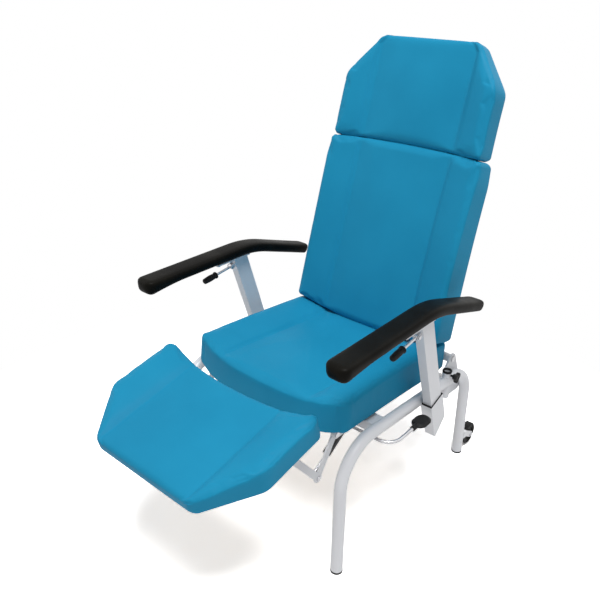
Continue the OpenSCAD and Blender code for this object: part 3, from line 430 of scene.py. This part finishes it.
def ease_corner(e, r):
    """How far a corner of radius r draws the outline in at a distance e from the end."""
    return np.where(e < r, r - np.sqrt(np.maximum(0, r * r - (r - e) ** 2)), 0)


def dense_ends(n, reach, length):
    """n places along a length, close together in the reach at each end."""
    end = reach * (1 - np.cos(np.linspace(0, np.pi / 2, 10)))
    return np.concatenate([end, np.linspace(reach, length - reach, n)[1:-1], length - end[::-1]])


def dents(x, y, inside, worn):
    """The gentle hollows and folds of a sat-on cover, fading out towards its edges; worn is 0 to 1."""
    broad = np.sin(x / 61 + y / 47 + 0.6) * np.sin(y / 71 - x / 93 + 1.9) + 0.6 * np.sin(x / 34 - y / 52 + 2.4)
    fold = np.exp(-((x + 0.8 * y - 150) / 9) ** 2) - np.exp(-((x + 0.7 * y - 190) / 14) ** 2)
    return ((0.5 + 0.6 * worn) * broad + 0.9 * worn * fold) * np.clip((inside - DENT_EDGE) / DENT_FADE, 0, 1)


def outline(y, size, tip, cut, corners):
    """Half the panel's width at y: a box with its far corners cut to tip, drawn in a little at the sides."""
    w, l, _ = size
    past = np.logaddexp(0, (y - (l - cut)) / CORNER_SOFT) * CORNER_SOFT
    half = w / 2 + (tip - w) / 2 * np.minimum(past, cut) / cut
    half = half - ease_corner(y, corners[0]) - ease_corner(l - y, corners[1])
    return half - WAIST * np.sin(np.pi * y / l)


def upper_side(x, y, half, crease, size, worn):
    """Heights of the face: the panel, its wings outside the crease, its crown, hollows and rounded edges."""
    l, t = size[1:]
    ax = np.abs(x)
    along = np.sin(np.pi * y / l)
    out = np.maximum(0, ax - crease) / (half - crease)
    ends = np.minimum(y, l - y)
    top = t - WING + WING * out * np.minimum(1, (half - crease) / CREASE * WING_RAMP)
    top = top + CROWN * along * np.maximum(0, 1 - ax / crease) ** CROWN_POWER
    wing = np.clip(out, 0, 1)
    top = top + (WING_PUFF * np.sin(np.pi * wing) + WING_LIFT * wing) * along
    top = top - CREASE_DEEP * np.exp(-((ax - crease) / CREASE_SOFT) ** 2)
    top = top + dents(x, y, np.minimum(half - ax, ends), worn)
    return top - ease_edge(half - ax, ends, TOP_ROLL)


def lower_side(x, y, half, l, rim, lip):
    """Heights of the base: rounded edges, a lip below the first end and rims behind the board's edges."""
    inside = half - np.abs(x)
    ends = np.minimum(y, l - y)
    low = ease_edge(inside, ends, LOW_ROLL) - lip * (1 - (x / half) ** 6) * np.exp(-(y / LIP_LONG) ** 2)
    behind = (rim[0] + (rim[1] - rim[0]) * y / l) * np.clip(ends / RIM_END, 0, 1)
    return low - behind * np.clip((RIM_WIDE - inside) / RIM_STEP, 0, 1)


def loop_faces(m, n):
    """Faces over m rings of n points, upper side out and lower side back, with the two ends closed."""
    a = np.arange(n // 2 - 1)
    first = np.stack([a, a + 1, n - 2 - a, n - 1 - a], -1)
    return ring_quads(m, n) + first[:, ::-1].tolist() + (first + (m - 1) * n).tolist()


def lean_axes(lean, kind):
    """The unit vectors along a panel and out of its face, for a lean in degrees."""
    c, s = math.cos(math.radians(lean)), math.sin(math.radians(lean))
    return {
        "seat": ((0, c, -s), (0, s, c)),
        "back": ((0, s, c), (0, -c, s)),
        "leg": ((0, -c, -s), (0, -s, c)),
    }[kind]


def swell(obj, start):
    """Air pressure on the cover as cloth, held at its base and creases; no point moves beyond SWELL_MOST."""
    cloth = obj.modifiers.new("blown", "CLOTH")
    cloth.settings.vertex_group_mass = "held"
    cloth.settings.use_pressure = True
    cloth.settings.uniform_pressure_force = 5.0
    cloth.settings.tension_stiffness = 20
    cloth.settings.compression_stiffness = 20
    cloth.settings.bending_stiffness = 1.2
    cloth.settings.effector_weights.gravity = 0
    cloth.settings.quality = 4
    for step in range(1, SWELL_FRAMES + 1):
        bpy.context.scene.frame_set(step)
    blown = points_of(evaluated(obj))
    obj.modifiers.clear()
    move = blown - start
    far = np.linalg.norm(move, axis=1, keepdims=True)
    set_points(obj.data, start + move * np.minimum(1, SWELL_MOST / 1000 / np.maximum(far, 1e-9)))
    bpy.context.scene.frame_set(1)


def cover(node, base, lean, kind, size, tip, cut, bow, corners, worn, rim, lip):
    """A cushion's cover on the panel of its board.

    size is width, length and thickness. The far corners are cut over a length of cut down to a width of tip,
    and the corners are rounded in plan. The ends bow by bow[0] and bow[1] in the middle, and the base by
    bow[2] of that. The sides' rims reach rim[0] to rim[1] behind the panel. The lip hangs that far below the
    middle of the first end.
    """
    along, normal = lean_axes(lean, kind)
    l, t = size[1:]
    y = dense_ends(ALONG_COUNT, ALONG_REACH, l)
    half = outline(y, size, tip, cut, corners)
    crease = np.minimum(CREASE, half - TOP_ROLL - FLAT_ROOM)
    yy, hh, cc = (v[:, None] for v in (y, half, crease))
    x = (dense_ends(ACROSS_COUNT, ACROSS_REACH, 2.0) - 1)[None] * hh
    top = upper_side(x, yy, hh, cc, size, worn)
    low = lower_side(x, yy, hh, l, rim, lip)
    bend = (1 - (x / hh) ** 2) * (bow[1] * (yy / l) ** 4 - bow[0] * (1 - yy / l) ** 4)
    across = np.concatenate([x, x[:, ::-1]], 1)
    length = np.concatenate([yy + bend, (yy + bow[2] * bend)[:, ::-1]], 1)
    rise = np.concatenate([top, low[:, ::-1]], 1)
    points = (np.array(base, float) + across[..., None] * np.array([1.0, 0, 0])
              + length[..., None] * np.array(along) + rise[..., None] * np.array(normal))
    obj = new_object(node + "_cover", place(points.reshape(-1, 3)), loop_faces(*rise.shape))

    start = points_of(obj.data)
    offset = start - place([base])[0]
    depth = offset @ np.array(normal) * 1000
    crease_here = np.interp(offset @ np.array(along) * 1000, y, crease)
    on_fold = (np.abs(np.abs(start[:, 0] * 1000) - crease_here) < FOLD_HELD) & (depth > t / 3)
    held = obj.vertex_groups.new(name="held")
    held.add(np.nonzero((depth < BASE_HELD) | on_fold)[0].tolist(), 1.0, "REPLACE")
    swell(obj, start)
    fine = obj.modifiers.new("fine", "SUBSURF")
    fine.levels = 1
    fine.render_levels = 1
    bake(obj)
    obj.data.polygons.foreach_set("use_smooth", np.ones(len(obj.data.polygons), bool))
    dress(obj, VINYL, "vinyl_blue", node_body[node], node)


BACK_UP = np.array(lean_axes(BACK_LEAN, "back")[0])
cover("seat_cushion", (0, -6.97, 400.30), 5.0, "seat", size=(520, 498, 80), tip=506, cut=60,
      bow=(26, 0, 1), corners=(24, 12), worn=1.0, rim=(5, 5), lip=31.0)
cover("back_cushion", BACK_FOOT - 4 * BACK_UP, BACK_LEAN, "back", size=(512, 517, 70), tip=498, cut=60,
      bow=(26, 9, 0.45), corners=(15, 12), worn=0.0, rim=(30, 13), lip=0.0)
cover("head_cushion", BACK_FOOT + 513.9 * BACK_UP, BACK_LEAN, "back", size=(486, 300, 70), tip=306, cut=118,
      bow=(-9, 0, 0.45), corners=(12, 14), worn=0.0, rim=(13, 11), lip=0.0)
cover("leg_cushion", (0, -81.31, 443.07), 12.7, "leg", size=(520, 327, 60), tip=326, cut=134,
      bow=(-27, 0, 1), corners=(24, 12), worn=0.4, rim=(5, 6), lip=0.0)


# Armrest pads: a superellipse section carried along a line that bends down towards the rear
PAD_X = POST_X - 5
PAD_FRONT = -131.0
PAD_KNEE = 262.0
PAD_FALL = math.radians(18.0)
PAD_BEND = 380.0
PAD_LONG = 662.0
PAD_WIDE = 63.0
PAD_THICK = 31.0
PAD_TOP = 668.0
PAD_FLARE = 13.0
PAD_FLARE_LONG = 118.0
PAD_SLIM_LONG = 110.0
PAD_NARROWS = 0.13
PAD_THICKENS = 0.08
PAD_DRAFT = 0.10
PAD_CROWN = 1.1
PAD_END = 30.0
PAD_END_GAP = 6.0


def pad_line(s):
    """Y, Z drop and turn at a distance s: straight, then an arc of radius PAD_BEND, then straight again."""
    flat = PAD_KNEE - PAD_FRONT - PAD_BEND * math.tan(PAD_FALL / 2)
    turn = np.clip((s - flat) / PAD_BEND, 0, PAD_FALL)
    rest = np.maximum(s - flat - PAD_BEND * PAD_FALL, 0)
    y = PAD_FRONT + np.minimum(s, flat) + PAD_BEND * np.sin(turn) + rest * math.cos(PAD_FALL)
    z = -PAD_BEND * (1 - np.cos(turn)) - rest * math.sin(PAD_FALL)
    return y, z, turn


def closing(e, reach, power):
    """A share that grows from 0 at an end (e = 0) to 1 at e = reach along a superellipse of that power."""
    q = np.clip(1 - e / reach, 0, 1)
    return (1 - q ** power) ** (1 / power)


def signed_power(v, power):
    return np.sign(v) * np.abs(v) ** power


def arm_pad(side, sign):
    """A pad whose section is x = a|cos t|^p, z = b|sin t|^q, with a and b closing over both ends.

    It narrows towards the rear, its front end is deeper below, its underside draws in and its top crowns.
    """
    end = PAD_END * (1 - np.cos(np.linspace(0, np.pi / 2, 14)))
    middle = np.linspace(PAD_END + PAD_END_GAP, PAD_LONG - PAD_END - PAD_END_GAP, 70)
    s = np.concatenate([end, middle, PAD_LONG - end[::-1]])
    e = np.minimum(s, PAD_LONG - s)
    slim = np.clip((s - (PAD_LONG - PAD_SLIM_LONG)) / PAD_SLIM_LONG, 0, 1) ** 2
    half = PAD_WIDE / 2 * closing(e, 26, 2.4) * (1 - PAD_NARROWS * slim)
    high = PAD_THICK / 2 * closing(e, 19, 2.1) * (1 + PAD_THICKENS * slim)
    flare = PAD_FLARE * np.clip(1 - s / PAD_FLARE_LONG, 0, 1) ** 1.5 * closing(e, 24, 2.0)
    t = np.linspace(0, 2 * np.pi, 72, endpoint=False)
    x = half[:, None] * signed_power(np.cos(t), 0.42)[None]
    z = high[:, None] * signed_power(np.sin(t), 0.52)[None]
    x = x * np.where(z < 0, 1 + PAD_DRAFT * z / (PAD_THICK / 2), 1)
    z = z + np.where(z < 0, flare[:, None] * z / np.maximum(high, 0.01)[:, None], 0)
    z = z - np.where(z > 0, PAD_CROWN * (x / (PAD_WIDE / 2)) ** 2, 0)
    y0, drop, turn = pad_line(s)
    y = y0[:, None] + z * np.sin(turn)[:, None]
    height = PAD_TOP - PAD_THICK / 2 + drop[:, None] + z * np.cos(turn)[:, None]
    obj = skin("arm_pad_" + side, np.stack([sign * PAD_X + x, y, height], -1))
    dress(obj, FOAM, "pad_black", "armrest_" + side, "pad_" + side)


# Grips of the under-arm levers: radii and distances from the lever's pivot
GRIP_COLLAR = [(4.6, 60.5), (9.6, 60.8), (10.1, 61.6), (10.1, 64.2), (9.4, 65.2)]
GRIP_FROM = 66.0
GRIP_LONG = 38.0
GRIP_RADIUS = 8.3
GRIP_BELLY = 0.9
GRIP_GROOVE = 0.45
GRIP_GROOVES = 9
GRIP_END = 8.2
GRIP_DOME = 5.5


def lever_grip(side, sign):
    """A moulded grip turned about the lever's rod, with a collar, a belly, ring grooves and a domed end."""
    lean = math.radians(LEVER_ANGLE)
    way = np.array([0.0, -math.cos(lean), -math.sin(lean)])
    along = np.linspace(0, 1, 60)
    groove = np.abs(np.sin(along * np.pi * GRIP_GROOVES)) < 0.25
    radius = GRIP_RADIUS + GRIP_BELLY * np.sin(np.pi * along) ** 2 - GRIP_GROOVE * groove
    body = np.stack([radius, GRIP_FROM + GRIP_LONG * along], -1)
    a = np.linspace(0.15, 1.5, 8)
    dome = np.stack([GRIP_END * np.cos(a), GRIP_FROM + GRIP_LONG + GRIP_DOME * np.sin(a)], -1)
    profile = np.concatenate([GRIP_COLLAR, body, dome])
    obj = turned("lever_grip_" + side, (sign * POST_X, *LEVER_PIVOT), way, profile, 40)
    dress(obj, PLASTIC, "plastic_black", "arm_lever_" + side, "grip_" + side)


# Clamping knobs: the stud's place, the radii and heights of the profile, and the lobes
KNOB_AT = (294.0, 452.0)
KNOB_PROFILE = [
    (3, 0), (3, 9.5), (7.2, 10.2), (8.3, 11), (8.5, 14.6), (11.2, 15.0), (13.3, 15.8), (13.8, 17.4),
    (13.8, 22.6), (13.2, 24.6), (11.6, 25.6), (8, 25.9), (5.2, 25.9), (4.8, 25.2), (0.4, 25.1),
]
KNOB_LOBES = 3
KNOB_WAVE = 0.235
KNOB_HUB = 7.0
KNOB_HUB_STEP = 5.0
KNOB_REACH = 17.0


def clamp_knob(side, sign):
    """A lobed knob: radius times 1 + KNOB_WAVE cos(KNOB_LOBES t) beyond its hub, turned about the stud."""
    profile = np.array(KNOB_PROFILE, float)
    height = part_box("knob_" + side)[0][2] * 1000 + KNOB_REACH
    t = np.linspace(0, 2 * np.pi, 96, endpoint=False)
    beyond = np.clip((profile[:, :1] - KNOB_HUB) / KNOB_HUB_STEP, 0, 1)
    radius = profile[:, :1] * (1 + KNOB_WAVE * np.cos(KNOB_LOBES * t)[None] * beyond)
    across = sign * (KNOB_AT[0] + profile[:, 1:] + np.zeros_like(radius))
    rings = np.stack([across, KNOB_AT[1] + radius * np.sin(t), height - radius * np.cos(t)], -1)
    obj = skin("clamp_knob_" + side, rings)
    dress(obj, PLASTIC, "plastic_black", "knob_" + side, "knob_" + side)


for side, sign in SIDES:
    arm_pad(side, sign)
    lever_grip(side, sign)
    clamp_knob(side, sign)


# Stage, light and camera
FLOOR_HALF = 60.0
FLOOR_SEEN = 2.5
FADE_FROM = 0.55
FADE_TO = 1.3
WORLD_LIGHT = 0.27
WHITE = (1, 1, 1, 1)


def backdrop():
    """A wide pale floor: white to the camera and in reflections, lit and shadowed near the chair."""
    corners = [(x * FLOOR_HALF, y * FLOOR_HALF, 0) for x, y in ((-1, -1), (1, -1), (1, 1), (-1, 1))]
    floor = new_object("floor", corners, [(0, 1, 2, 3)])
    mat = bpy.data.materials.new("floor_white")
    mat.use_nodes = True
    nodes, links = mat.node_tree.nodes, mat.node_tree.links
    shader = nodes["Principled BSDF"]
    shader.inputs["Base Color"].default_value = (0.86, 0.86, 0.87, 1)
    shader.inputs["Roughness"].default_value = 0.9
    bright = nodes.new("ShaderNodeBsdfDiffuse")
    bright.inputs["Color"].default_value = (FLOOR_SEEN, FLOOR_SEEN, FLOOR_SEEN, 1)
    glow = nodes.new("ShaderNodeEmission")
    glow.inputs["Strength"].default_value = 1.0
    where = nodes.new("ShaderNodeTexCoord")
    away = nodes.new("ShaderNodeVectorMath")
    away.operation = "LENGTH"
    links.new(where.outputs["Object"], away.inputs[0])
    far = spread(mat.node_tree, away.outputs["Value"], FADE_FROM, FADE_TO, 0, 1)
    seen = nodes.new("ShaderNodeMixShader")
    links.new(far, seen.inputs["Fac"])
    links.new(bright.outputs[0], seen.inputs[1])
    links.new(glow.outputs[0], seen.inputs[2])
    ray = nodes.new("ShaderNodeLightPath")
    last = shader.outputs[0]
    for kind, result in (("Is Camera Ray", seen), ("Is Glossy Ray", glow), ("Is Transmission Ray", glow)):
        mix = nodes.new("ShaderNodeMixShader")
        links.new(ray.outputs[kind], mix.inputs["Fac"])
        links.new(last, mix.inputs[1])
        links.new(result.outputs[0], mix.inputs[2])
        last = mix.outputs[0]
    links.new(last, nodes["Material Output"].inputs["Surface"])
    wear(floor, mat)


def lamp(name, at, aim, size, watts):
    """A square soft light of that size in metres, turned towards a point."""
    light = bpy.data.lights.new(name, "AREA")
    light.size = size
    light.energy = watts
    obj = bpy.data.objects.new(name, light)
    bpy.context.scene.collection.objects.link(obj)
    obj.location = at
    obj.rotation_euler = (Vector(aim) - Vector(at)).to_track_quat("-Z", "Y").to_euler()


def studio_world():
    """A surround that lights the chair dimly and is plain white to the camera, in metal and in glass."""
    world = bpy.data.worlds.new("studio")
    bpy.context.scene.world = world
    world.use_nodes = True
    nodes, links = world.node_tree.nodes, world.node_tree.links
    dim = nodes["Background"]
    dim.inputs["Strength"].default_value = WORLD_LIGHT
    dim.inputs["Color"].default_value = WHITE
    plain = nodes.new("ShaderNodeBackground")
    plain.inputs["Strength"].default_value = 1.0
    plain.inputs["Color"].default_value = WHITE
    ray = nodes.new("ShaderNodeLightPath")
    seen = ray.outputs["Is Camera Ray"]
    for kind in ("Is Glossy Ray", "Is Transmission Ray"):
        either = nodes.new("ShaderNodeMath")
        either.operation = "MAXIMUM"
        links.new(seen, either.inputs[0])
        links.new(ray.outputs[kind], either.inputs[1])
        seen = either.outputs[0]
    mix = nodes.new("ShaderNodeMixShader")
    links.new(seen, mix.inputs["Fac"])
    links.new(dim.outputs[0], mix.inputs[1])
    links.new(plain.outputs[0], mix.inputs[2])
    links.new(mix.outputs[0], nodes["World Output"].inputs["Surface"])


backdrop()
lamp("key_soft", at=(1.5, -1.2, 6.4), aim=(0, 0, 0.5), size=2.6, watts=335)
lamp("fill_soft", at=(-2.8, -1.2, 2.2), aim=(0, 0, 0.6), size=2.6, watts=14)
lamp("rear_soft", at=(0.4, 2.6, 3.2), aim=(0, 0.2, 0.9), size=2.0, watts=14)
studio_world()

# The photograph's camera as fitted: degrees, chair millimetres and pixels of a square picture
PHOTO_TURN = 39.68
PHOTO_TILT = 26.02
PHOTO_ROLL = 0.91
PHOTO_FROM = (1005.13, -1057.43, 1388.75)
PHOTO_SIZE = 600
PHOTO_FOCAL = 667.17
PHOTO_MIDDLE = (305.32, 296.80)
SENSOR = 36


def photo_camera():
    """The camera of the photograph, as its fit gave it: place, turn, roll, focal length and shift."""
    az, el, roll = (math.radians(v) for v in (PHOTO_TURN, PHOTO_TILT, PHOTO_ROLL))
    back = np.array([math.sin(az) * math.cos(el), -math.cos(az) * math.cos(el), math.sin(el)])
    right = np.cross(-back, [0, 0, 1.0])
    right /= np.linalg.norm(right)
    up = np.cross(back, right)
    right, up = right * math.cos(roll) + up * math.sin(roll), up * math.cos(roll) - right * math.sin(roll)
    data = bpy.data.cameras.new("photo_camera")
    data.sensor_width = SENSOR
    data.lens = PHOTO_FOCAL / PHOTO_SIZE * SENSOR
    data.shift_x = (PHOTO_SIZE / 2 - PHOTO_MIDDLE[0]) / PHOTO_SIZE
    data.shift_y = (PHOTO_MIDDLE[1] - PHOTO_SIZE / 2) / PHOTO_SIZE
    data.clip_end = 100
    obj = bpy.data.objects.new("photo_camera", data)
    bpy.context.scene.collection.objects.link(obj)
    turn = Matrix([list(row) for row in np.stack([right, up, back], 1)]).to_4x4()
    obj.matrix_world = Matrix.Translation(place([PHOTO_FROM])[0]) @ turn
    bpy.context.scene.camera = obj


photo_camera()
bpy.context.scene.view_settings.view_transform = "Standard"
